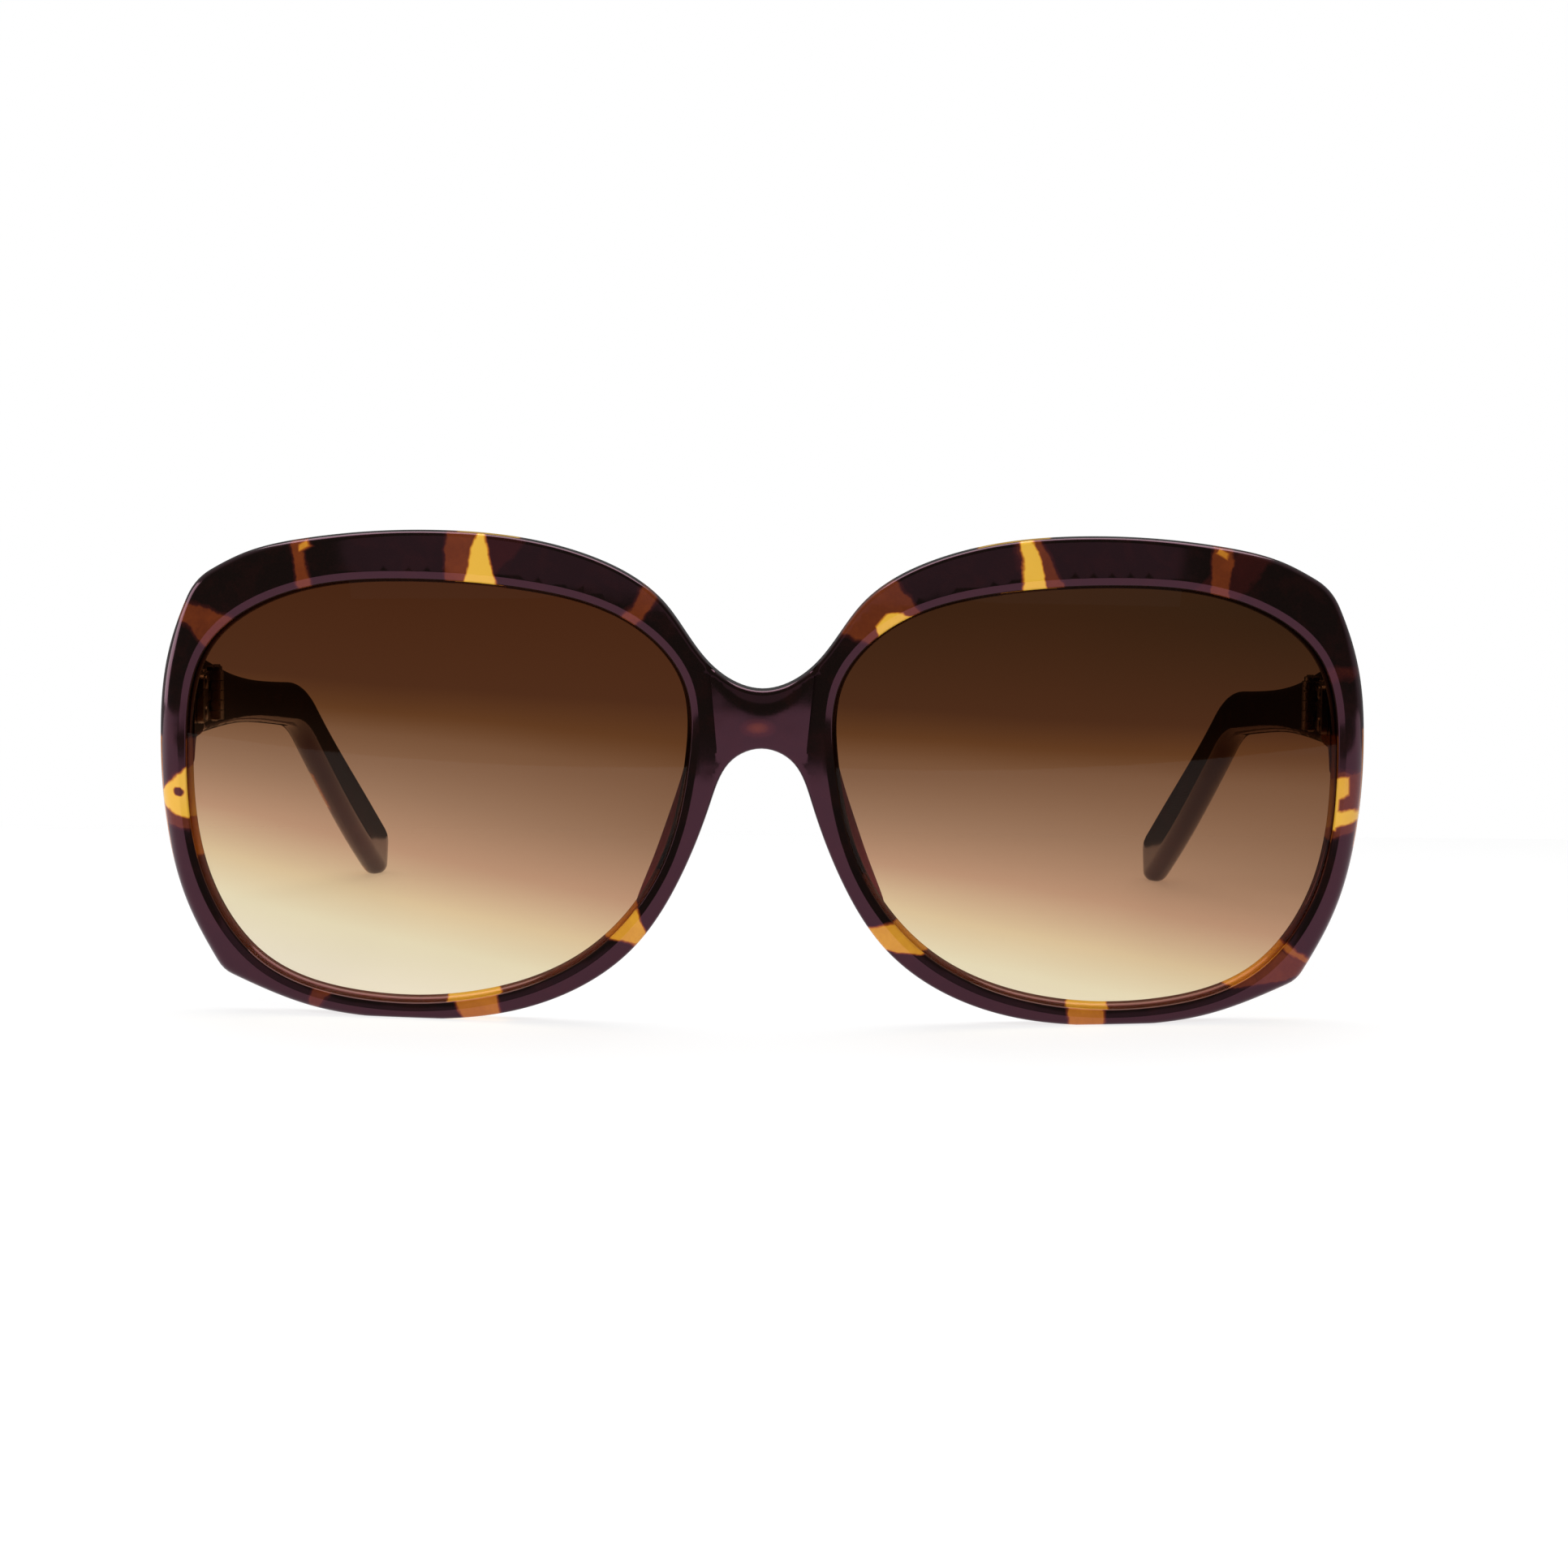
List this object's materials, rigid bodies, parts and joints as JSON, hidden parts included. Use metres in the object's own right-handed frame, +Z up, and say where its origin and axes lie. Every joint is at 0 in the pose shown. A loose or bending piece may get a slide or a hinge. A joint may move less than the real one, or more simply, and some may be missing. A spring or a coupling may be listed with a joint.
{
  "type": "folding sunglasses",
  "caption": "Oversized tortoiseshell sunglasses with gradient brown lenses, nose pads and hooked temples that fold on screwed barrel hinges.",
  "frame": {"origin": "on the surface that the sunglasses stand on, under the middle of their box with the temples open", "axes": "+Z up, the front faces -Y and the temples run towards +Y, +X is the wearer's left"},
  "size_m": [0.146, 0.1458, 0.0587],
  "materials": {
    "tortoise_plastic": "polished dark tortoiseshell with amber patches",
    "pad_plastic": "polished dark brown",
    "gradient_lens": "smooth brown gradient tint, dark at the top and pale at the bottom",
    "nickel_silver": "nickel silver, lightly polished"
  },
  "bodies": {
    "front": {"front_frame": "tortoise_plastic", "lens_left": "gradient_lens", "lens_right": "gradient_lens", "nose_pad_left": "pad_plastic", "nose_pad_right": "pad_plastic", "front_hinge_left": "nickel_silver", "front_hinge_right": "nickel_silver", "hinge_screw_left": "nickel_silver", "hinge_screw_right": "nickel_silver", "front_hinge_pin_left_upper": "nickel_silver", "front_hinge_pin_left_lower": "nickel_silver", "front_hinge_pin_right_upper": "nickel_silver", "front_hinge_pin_right_lower": "nickel_silver"},
    "temple_left": {"temple_left": "tortoise_plastic", "temple_hinge_left": "nickel_silver", "temple_hinge_pin_left_upper": "nickel_silver", "temple_hinge_pin_left_lower": "nickel_silver", "temple_core_left": "nickel_silver"},
    "temple_right": {"temple_right": "tortoise_plastic", "temple_hinge_right": "nickel_silver", "temple_hinge_pin_right_upper": "nickel_silver", "temple_hinge_pin_right_lower": "nickel_silver", "temple_core_right": "nickel_silver"}
  },
  "joints": [
    {"name": "temple_left_fold", "type": "hinge", "parent": "front", "child": "temple_left", "pos_m": [0.0677, -0.05142, 0.0373], "axis": [0, 0, 1], "range_deg": [0, 88]},
    {"name": "temple_right_fold", "type": "hinge", "parent": "front", "child": "temple_right", "pos_m": [-0.0677, -0.05142, 0.0373], "axis": [0, 0, -1], "range_deg": [0, 83]}
  ]
}
